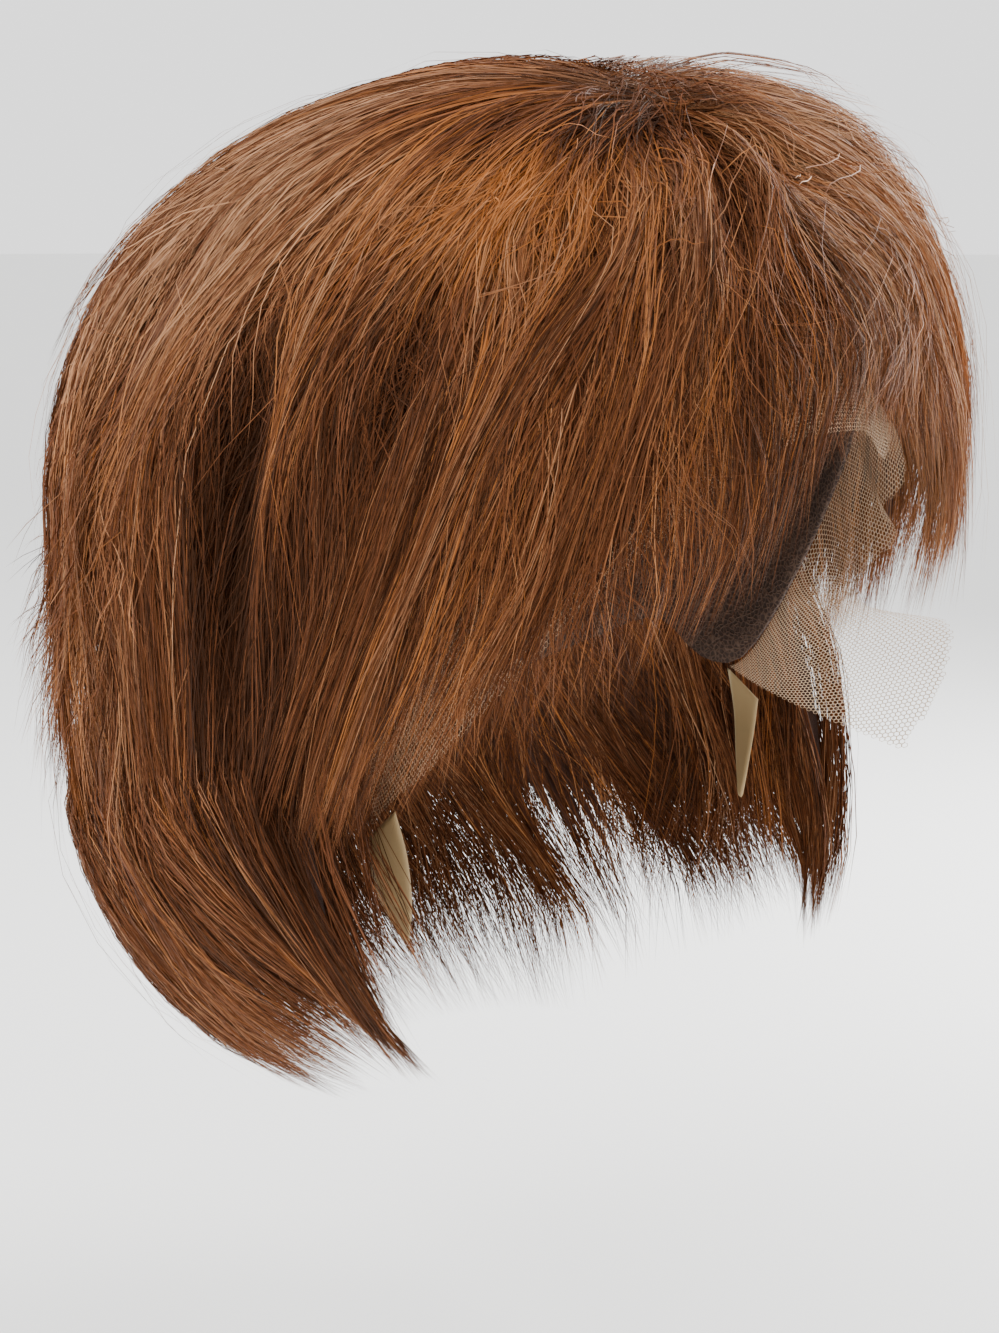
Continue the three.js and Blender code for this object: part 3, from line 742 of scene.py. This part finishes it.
def group_strands(group, look, seed):
    """Centre lines, radii, outward ways, rolls and colours of a group of strands in pinched clumps."""
    rng = np.random.default_rng(seed)
    clumps, per = group["clumps"], group["strands"]
    total = clumps * per
    low, high = group["flow"]
    number = np.arange(clumps)
    bundle = (number[:, None] * per + np.arange(per) // SCATTER["bundle"]).ravel()

    def each(values):
        return np.repeat(values, per)[:, None]

    def together(values):
        return values[bundle][:, None]

    def every(least, most):
        return rng.uniform(least, most, (total, 1))

    def scattered(spread):
        return rng.normal(0, spread, (total, 1))

    place = SCATTER["clump_place"]
    flow = each(low + (number + 0.5 + rng.uniform(-place, place, clumps)) / clumps * (high - low))
    evenly = np.sqrt((number * SCATTER["golden"]) % 1)
    root = np.clip(each(mix(*group["root"], evenly)) + scattered(SCATTER["root"]), 0, None)
    tip = each(mix(*group["tip"], rng.random(clumps) ** SCATTER["tip_ease"]))
    tip = tip * (1 - group.get("uneven", SCATTER["uneven"]) * every(0, 1) ** 2)
    share = np.linspace(0, 1, group["points"])[None] ** SCATTER["point_ease"]
    run = mix(root, tip, share)
    loose = every(0, 1) < look.flyaways

    across = together(rng.normal(0, SCATTER["across"], total)) + scattered(SCATTER["stray"])
    across = np.clip(across, -SCATTER["widest"], SCATTER["widest"])
    pinch = 1 - together(rng.uniform(*SCATTER["pinch"], total)) * smooth((share - 0.3) / 0.7)
    path = flow + group["width"] * each(rng.uniform(*SCATTER["clump_width"], clumps)) * across * pinch
    path = path + each(rng.normal(0, SCATTER["clump_lean"], clumps)) * share**2
    path = path + scattered(SCATTER["root_turn"]) * (1 - share) ** 3
    wave = each(rng.uniform(*SCATTER["clump_wave"], clumps)) * share
    wave = wave + each(rng.uniform(0, SCATTER["phase"], clumps))
    path = path + look.tousle * each(rng.normal(0, 1, clumps)) * np.sin(wave) * smooth(share / 0.4)
    path = path + look.frizz * scattered(1) * np.sin(share * every(2, 6) + every(0, 6))
    path = path + loose * scattered(SCATTER["fly_turn"]) * share**2
    path = path + together(rng.normal(0, SCATTER["tip_fan"], total)) * share**3
    path = path + locks_bend(path, run)

    depth = each(mix(*group["lie"], rng.random(clumps)))
    depth = depth + together(rng.uniform(*SCATTER["bundle_depth"], total)) + every(0, SCATTER["depth"])
    depth = depth + group["deep"] * (1 - smooth(share / 0.3))
    lift = group["flick"] * every(*SCATTER["flick"]) + look.tousle * each(rng.normal(0, 1, clumps))
    depth = depth + lift * smooth((share - 0.65) / 0.35)
    depth = depth - loose * every(*SCATTER["fly_lift"]) * smooth(share / 0.5)

    tone = 0.5 + group["tone"] + each(rng.normal(0, SCATTER["clump_tone"], clumps))
    tone = tone + together(rng.normal(0, SCATTER["bundle_tone"], total))
    tone = tone + scattered(SCATTER["tone"]) + SCATTER["tip_tone"] * smooth((share - 0.75) / 0.25)
    paleness_and_sheen = each(rng.random(clumps)) + scattered(SCATTER["pale"]) + 0 * share
    for about, half, start, end, hollow in FURROWS:
        off = turned(path - about) / half
        inside = smooth((run - start) / FURROW["fade"]) * smooth((end - run) / FURROW["fade"])
        near = np.exp(-(off**2)) * inside
        depth = depth + hollow * near
        path = path + half * FURROW["push"] * np.tanh(off) * np.exp(-((off / 2) ** 2)) * inside
        # Painted shade: strands in a furrow between locks are made darker.
        tone = tone - FURROW["shade"] * near
    # Lights and darks of the dye, with painted sheen and painted shade where the table puts them.
    for about, wide, level, tall, added, paled in DYE_AND_PAINTED_LIGHT:
        near = np.exp(-((turned(path - about) / wide) ** 2) - ((run - level) / tall) ** 2)
        tone = tone + added * near
        paleness_and_sheen = paleness_and_sheen + paled * near

    lining = every(0, 1) < group.get("inner", 0)
    most = np.where(lining, LINING["most"], LINING["outer_most"])
    drift = every(-1, 1) * WHORL["length"]
    depth = np.where(lining, LINING["depth"], depth)
    centres, outward = hair_point(group["layer"], path, run, depth, most, drift)
    thick = np.where(loose, SCATTER["fly_thick"], every(*SCATTER["thick"]))
    ends = 1 - group.get("taper", SCATTER["taper"]) * share**3
    base = mix(SCATTER["root_thick"], 1, smooth(share / 0.1))
    radii = look.strand_width / MM / 2 * thick * ends * base
    roll, twist = SCATTER["roll"], SCATTER["twist"]
    rolls = every(-roll, roll) + every(-twist, twist) * share
    return centres, radii, outward, rolls, strand_dye(look, tone, np.clip(paleness_and_sheen, 0, 1), run)


def backing_object(backing, seed):
    """Dense hair under the strands, down to a hem of pointed wisps."""
    layer, (low, high) = backing["layer"], backing["flow"]
    columns = backing["wisps"] * 2
    ends = mix(*backing["hem"], np.random.default_rng(seed).random(columns + 1))
    ends[1::2] = backing["hem"][0]
    ends[-1] = ends[0]

    def run(i, j):
        return mix(backing["top"], ends[np.rint(i * columns).astype(int)], j)

    def outside(i, j):
        depth = backing["skin"] + 0 * i
        return hair_point(layer, mix(low, high, i), run(i, j), depth, BACKING_WALL["most"])[0]

    def inside(i, j):
        inner = hair_sides(layer, mix(low, high, i), run(i, j))[1]
        closing = BACKING_WALL["thin"] * j[:, None] ** BACKING_WALL["late"]
        return mix(inner, outside(i, j), closing)

    round_all = high - low == 360
    return wall_object(backing["piece"], columns, BACKING_WALL["rows"], outside, inside, closed=round_all)


def put(piece, material, nodes=()):
    """Gives a piece its finish, attaches it to the root body and hides the solids that it stands for."""
    piece.data.materials.append(material)
    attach(piece, "root")
    if nodes:
        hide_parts(*nodes)


class HairLook(bpy.types.PropertyGroup):
    """Sizes and colours of the hair."""

    strand_width: bpy.props.FloatProperty(
        name="Strand width", description="Thickness of a bundle of hairs", default=0.00028, unit="LENGTH")
    frizz: bpy.props.FloatProperty(
        name="Frizz", description="Sideways waver of a strand in degrees", default=0.6)
    tousle: bpy.props.FloatProperty(
        name="Tousle", description="Waver and lift of a lock, in degrees and millimetres", default=1.9)
    flyaways: bpy.props.FloatProperty(
        name="Flyaways", description="Share of strands that stand off", default=0.03, subtype="FACTOR")
    roughness: bpy.props.FloatProperty(
        name="Roughness", description="How matt the strands are", default=0.6, subtype="FACTOR")
    gloss: bpy.props.FloatProperty(
        name="Gloss", description="Strength of the strands' highlights", default=0.2, subtype="FACTOR")
    shine_colour: bpy.props.FloatVectorProperty(
        name="Shine", description="Colour of the highlights", default=(1.0, 0.74, 0.48), subtype="COLOR")
    root_colour: bpy.props.FloatVectorProperty(
        name="Roots", description="Darkest strands and roots", default=(0.026, 0.0072, 0.0026),
        subtype="COLOR")
    body_colour: bpy.props.FloatVectorProperty(
        name="Body", description="Middle brown", default=(0.128, 0.039, 0.0142), subtype="COLOR")
    amber_colour: bpy.props.FloatVectorProperty(
        name="Amber", description="Warm highlight strands", default=(0.36, 0.118, 0.026), subtype="COLOR")
    # Pale strands of the dye, also the colour of the painted sheen on the back of the crown and on the far
    # side.
    pale_and_sheen_colour: bpy.props.FloatVectorProperty(
        name="Pale", description="Cool highlight strands", default=(0.38, 0.195, 0.1), subtype="COLOR")


class ClothLook(bpy.types.PropertyGroup):
    """Sizes and colours of the lace, the cap and the ear tabs."""

    mesh_pitch: bpy.props.FloatProperty(
        name="Lace pitch", description="Distance between the openings of the lace", default=0.00118,
        unit="LENGTH")
    thread_width: bpy.props.FloatProperty(
        name="Lace thread", description="Width of the lace's thread", default=0.00022, unit="LENGTH")
    thread_colour: bpy.props.FloatVectorProperty(
        name="Lace", description="Lit lace thread", default=(0.62, 0.44, 0.29), subtype="COLOR")
    thread_shade: bpy.props.FloatVectorProperty(
        name="Lace shade", description="Darker lace thread", default=(0.42, 0.28, 0.17), subtype="COLOR")
    net_colour: bpy.props.FloatVectorProperty(
        name="Cap net", description="Cap thread", default=(0.09, 0.05, 0.032), subtype="COLOR")
    # Painted shade: the openings between the cap's threads are coloured near black.
    hole_shade_colour: bpy.props.FloatVectorProperty(
        name="Cap openings", description="Between the cap's threads", default=(0.02, 0.011, 0.008),
        subtype="COLOR")
    tab_colour: bpy.props.FloatVectorProperty(
        name="Ear tab", description="Ear tab cloth", default=(0.3, 0.205, 0.095), subtype="COLOR")
    tab_shade: bpy.props.FloatVectorProperty(
        name="Ear tab shade", description="Darker ear tab cloth", default=(0.24, 0.16, 0.07),
        subtype="COLOR")
    tab_rim: bpy.props.FloatVectorProperty(
        name="Ear tab rim", description="Paler folded rim", default=(0.62, 0.5, 0.31), subtype="COLOR")


class StageLook(bpy.types.PropertyGroup):
    """Floor, light and camera."""

    floor_colour: bpy.props.FloatVectorProperty(
        name="Floor", description="Pale floor", default=(0.84, 0.84, 0.83), subtype="COLOR")
    floor_drop: bpy.props.FloatProperty(
        name="Floor level", description="Height of the floor", default=-0.34, unit="LENGTH")
    fill: bpy.props.FloatProperty(
        name="Fill light", description="Strength of the light all round", default=1.85)
    key: bpy.props.FloatProperty(
        name="Key light", description="Power of the main lamp", default=25.0, unit="POWER")
    azimuth: bpy.props.FloatProperty(
        name="Camera azimuth", description="Where the camera stands", default=math.radians(-47),
        subtype="ANGLE")
    elevation: bpy.props.FloatProperty(
        name="Camera elevation", description="How high it stands", default=math.radians(11),
        subtype="ANGLE")
    distance: bpy.props.FloatProperty(
        name="Camera distance", description="How far from the aim", default=0.611, unit="LENGTH")
    aim: bpy.props.FloatVectorProperty(
        name="Camera aim", description="Point in the middle of the picture",
        default=(-0.0095, 0.0102, -0.14), subtype="XYZ")
    lens: bpy.props.FloatProperty(name="Lens", description="Focal length in millimetres", default=59.4)


class WIG_OT_cap(bpy.types.Operator):
    """Build the net cap"""

    bl_idname = "wig.cap"
    bl_label = "Net cap"

    def execute(self, context):
        def surface(out):
            return lambda i, j: cap_point(i * 360 - 180, j, out)

        columns, rows = 96, 24
        cap = wall_object("net_cap", columns, rows, surface(WALL["cap"]), surface(0), closed=True)
        put(cap, cap_finish(context.scene.wig_cloth), ["cap_net"])
        return {"FINISHED"}


class WIG_OT_lace(bpy.types.Operator):
    """Build the lace front as a net of six-sided openings"""

    bl_idname = "wig.lace"
    bl_label = "Lace front"

    def execute(self, context):
        look = context.scene.wig_cloth
        along = np.linspace(0, 1, 600)
        across = np.linspace(0, 1, 40)
        measured_at = 0.6
        middle = lace_point(along, np.full_like(along, measured_at))
        steps = np.linalg.norm(np.diff(middle, axis=0), axis=1)
        length = np.concatenate([[0], np.cumsum(steps)])
        rungs = lace_point(along[:, None] + 0 * across, across + 0 * along[:, None])
        width = np.linalg.norm(np.diff(rungs, axis=1), axis=-1).sum(axis=1)
        pitch = look.mesh_pitch / MM
        side = pitch / math.sqrt(3)
        columns = int(length[-1] / pitch)
        rows = int(width.max() / (1.5 * side)) + 1
        i, j = np.meshgrid(np.arange(columns), np.arange(rows))
        u = (i + 0.5 * (j % 2) + 0.5).ravel() * pitch
        v = (j.ravel() + 0.5) * 1.5 * side
        inside = (v < np.interp(u, length, width) - side) & (u < length[-1] - pitch)
        u, v = u[inside], v[inside]
        turn = np.radians(30 + 60 * np.arange(6))
        bare = side - look.thread_width / MM / 2 / math.cos(math.radians(30))
        ring = np.stack([np.cos(turn), np.sin(turn)], axis=1)
        centre = np.stack([u, v], axis=1)
        outer = (centre[:, None] + side * ring).reshape(-1, 2)
        inner = (centre[:, None] + bare * ring).reshape(-1, 2)
        keys = np.round(outer / (side * 0.05)).astype(np.int64)
        codes = keys[:, 0] * 1000000 + keys[:, 1]
        _, first, shared = np.unique(codes, return_index=True, return_inverse=True)
        flat = np.concatenate([outer[first], inner])
        place = np.interp(flat[:, 0], length, along)
        share = np.clip(flat[:, 1] / np.interp(flat[:, 0], length, width), 0, 1)
        points = lace_point(place, share)
        k = np.arange(6)
        out_corner = shared.reshape(-1, 6)
        in_corner = len(first) + np.arange(len(centre))[:, None] * 6 + k
        quads = np.stack(
            [out_corner, out_corner[:, (k + 1) % 6], in_corner[:, (k + 1) % 6], in_corner], axis=-1,
        ).reshape(-1, 4)
        uv = flat / np.array([length[-1], length[-1]])
        lace = quad_object("lace_net", points, quads, uv)
        put(lace, lace_finish(look), ["lace_front"])
        thread = 6 * math.sqrt(3) / 4 * (side**2 - bare**2) * len(centre)
        thread * MM**2
        return {"FINISHED"}


class WIG_OT_ear_tabs(bpy.types.Operator):
    """Build the two ear tabs"""

    bl_idname = "wig.ear_tabs"
    bl_label = "Ear tabs"

    def execute(self, context):
        finish = tab_finish(context.scene.wig_cloth)
        columns, rows = 16, 40
        for name in TABS:
            tab = wall_object(name + "_cloth", columns, rows, tab_face(name, 1), tab_face(name, -1))
            edge = tab.data.attributes.new("rim", "FLOAT", "POINT")
            i = np.tile(np.linspace(0, 1, columns + 1), 2 * (rows + 1))
            edge.data.foreach_set("value", (1 - smooth(i / 0.16)).astype(np.float32))
            put(tab, finish, [name])
            along = np.linspace(0, 1, 60)
            width = np.linalg.norm(tab_point(name, along, 1) - tab_point(name, along, 0), axis=1)
            length = np.linalg.norm(np.diff(tab_point(name, along, 0.5), axis=0), axis=1).sum()
        return {"FINISHED"}


class WIG_OT_hair(bpy.types.Operator):
    """Build the hair: dense under hair and the strands of each section"""

    bl_idname = "wig.hair"
    bl_label = "Hair"

    def execute(self, context):
        look = context.scene.wig_hair
        finish = backing_finish(look)
        for seed, backing in enumerate(BACKINGS):
            put(backing_object(backing, seed + 5), finish)
        strands = strand_finish(look)
        made = {}
        for seed, group in enumerate(GROUPS):
            made.setdefault(group["piece"], []).append(group_strands(group, look, seed + 11))
        for name, groups in made.items():
            piece = strand_object(name + "_strands", *(np.concatenate(parts) for parts in zip(*groups)))
            put(piece, strands, [name])
        return {"FINISHED"}


class WIG_OT_stage(bpy.types.Operator):
    """Build the floor, the light and the camera"""

    bl_idname = "wig.stage"
    bl_label = "Stage"

    def execute(self, context):
        look = context.scene.wig_stage
        scene = context.scene
        corner = 40000.0
        level = look.floor_drop / MM
        around = ((-1, -1), (1, -1), (1, 1), (-1, 1))
        points = np.array([(x * corner, y * corner, level) for x, y in around])
        floor = quad_object("floor", points, np.array([[0, 1, 2, 3]]))
        floor.data.materials.append(floor_finish(look))
        world = bpy.data.worlds.new("studio")
        scene.world = world
        world.use_nodes = True
        sky = world.node_tree.nodes["Background"]
        sky.inputs["Color"].default_value = (1.0, 1.0, 1.0, 1.0)
        sky.inputs["Strength"].default_value = look.fill
        middle = Vector((0.0, 0.0, -0.1))
        lamps = (
            ("key_lamp", (0.8, -0.2, 0.24), 0.6, 1.0),
            ("back_lamp", (-0.65, 0.45, 0.55), 0.8, 0.45),
        )
        for name, spot, size, share in lamps:
            lamp = bpy.data.lights.new(name, "AREA")
            lamp.size = size
            lamp.energy = look.key * share
            holder = bpy.data.objects.new(name, lamp)
            holder.location = spot
            holder.rotation_euler = (middle - Vector(spot)).to_track_quat("-Z", "Y").to_euler()
            scene.collection.objects.link(holder)
        camera = bpy.data.cameras.new("camera")
        camera.sensor_width = 36.0
        camera.lens = look.lens
        camera.clip_start = 0.01
        stand = bpy.data.objects.new("camera", camera)
        back = Vector((
            math.sin(look.azimuth) * math.cos(look.elevation),
            -math.cos(look.azimuth) * math.cos(look.elevation),
            math.sin(look.elevation),
        ))
        stand.location = Vector(look.aim) + back * look.distance
        stand.rotation_euler = (-back).to_track_quat("-Z", "Y").to_euler()
        scene.collection.objects.link(stand)
        scene.camera = stand
        return {"FINISHED"}


class WIG_PT_panel(bpy.types.Panel):
    """Lists the pieces of the wig"""

    bl_idname = "WIG_PT_panel"
    bl_label = "Lace front wig"
    bl_space_type = "VIEW_3D"
    bl_region_type = "UI"
    bl_category = "Wig"

    def draw(self, context):
        for operator in OPERATORS:
            self.layout.operator(operator.bl_idname)


LOOKS = {"wig_hair": HairLook, "wig_cloth": ClothLook, "wig_stage": StageLook}
OPERATORS = (WIG_OT_cap, WIG_OT_lace, WIG_OT_ear_tabs, WIG_OT_hair, WIG_OT_stage)


def register():
    """Registers the settings, the operators and the panel."""
    for name, look in LOOKS.items():
        bpy.utils.register_class(look)
        setattr(bpy.types.Scene, name, bpy.props.PointerProperty(type=look))
    for operator in OPERATORS:
        bpy.utils.register_class(operator)
    bpy.utils.register_class(WIG_PT_panel)


def unregister():
    """Takes them out again."""
    bpy.utils.unregister_class(WIG_PT_panel)
    for operator in reversed(OPERATORS):
        bpy.utils.unregister_class(operator)
    for name, look in LOOKS.items():
        delattr(bpy.types.Scene, name)
        bpy.utils.unregister_class(look)


def main():
    """Builds the wig."""
    register()
    bpy.ops.wig.cap()
    bpy.ops.wig.lace()
    bpy.ops.wig.ear_tabs()
    bpy.ops.wig.hair()
    bpy.ops.wig.stage()


if __name__ == "__main__":
    main()
